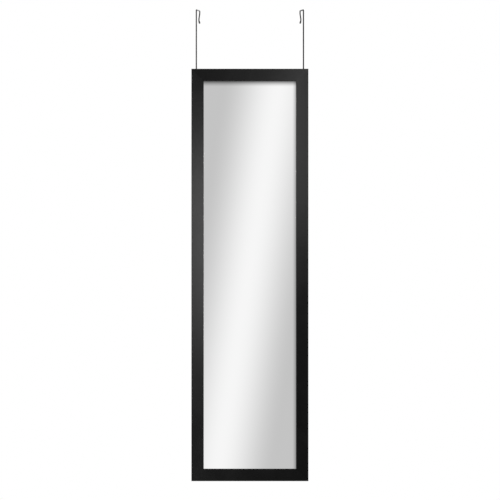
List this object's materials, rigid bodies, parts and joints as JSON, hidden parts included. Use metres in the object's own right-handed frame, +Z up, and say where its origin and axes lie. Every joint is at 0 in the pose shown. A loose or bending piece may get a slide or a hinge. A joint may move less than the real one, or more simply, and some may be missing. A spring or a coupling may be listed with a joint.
{
  "type": "over-the-door mirror",
  "caption": "Tall rectangular mirror in a flat, mitred black moulding frame that hangs over a door's top edge on swivelling round-wire hooks.",
  "frame": {"origin": "middle of the door's top front edge, midway between the hooks: the door's face is the plane Y = 0 and its top is the plane Z = 0", "axes": "+X to the right as seen from the room, +Y from the room into the door, so the mirror faces -Y, and +Z up"},
  "size_m": [0.362, 0.0752, 1.4615],
  "materials": {
    "moulding": "MDF wrapped in satin black foil, bare at the back and the mitres",
    "nail_steel": "plain rolled steel",
    "mirror": "clear float glass, silvered and painted grey at the back",
    "card": "uncoated grey packing card",
    "hardboard": "smooth brown hardboard",
    "point_steel": "plain spring steel",
    "plate_steel": "pressed sheet steel, bright zinc plated",
    "screw_steel": "bright zinc plated",
    "bumper_rubber": "matt black rubber",
    "wire_steel": "round steel wire, semi-gloss black coat",
    "cap_vinyl": "dipped black vinyl"
  },
  "bodies": {
    "frame": {"top_rail": "moulding", "bottom_rail": "moulding", "left_stile": "moulding", "right_stile": "moulding", "nails_top_left": "nail_steel", "nails_top_right": "nail_steel", "nails_bottom_left": "nail_steel", "nails_bottom_right": "nail_steel", "mirror_glass": "mirror", "packing_card": "card", "backing_board": "hardboard", "points_top": "point_steel", "points_bottom": "point_steel", "points_left": "point_steel", "points_right": "point_steel", "left_hanger_plate": "plate_steel", "right_hanger_plate": "plate_steel", "left_plate_screws": "screw_steel", "right_plate_screws": "screw_steel", "bumper_top_left": "bumper_rubber", "bumper_top_right": "bumper_rubber", "bumper_bottom_left": "bumper_rubber", "bumper_bottom_right": "bumper_rubber"},
    "left_hanger": {"left_hanger_wire": "wire_steel", "left_tip_cap": "cap_vinyl"},
    "right_hanger": {"right_hanger_wire": "wire_steel", "right_tip_cap": "cap_vinyl"}
  },
  "joints": [
    {"name": "left_hanger_swivel", "type": "hinge", "parent": "frame", "child": "left_hanger", "pos_m": [-0.166, -0.0035, -0.2515], "axis": [0, 0, 1], "range_deg": [0, 21]},
    {"name": "right_hanger_swivel", "type": "hinge", "parent": "frame", "child": "right_hanger", "pos_m": [0.166, -0.0035, -0.2515], "axis": [0, 0, 1], "range_deg": [-21, 0]}
  ]
}
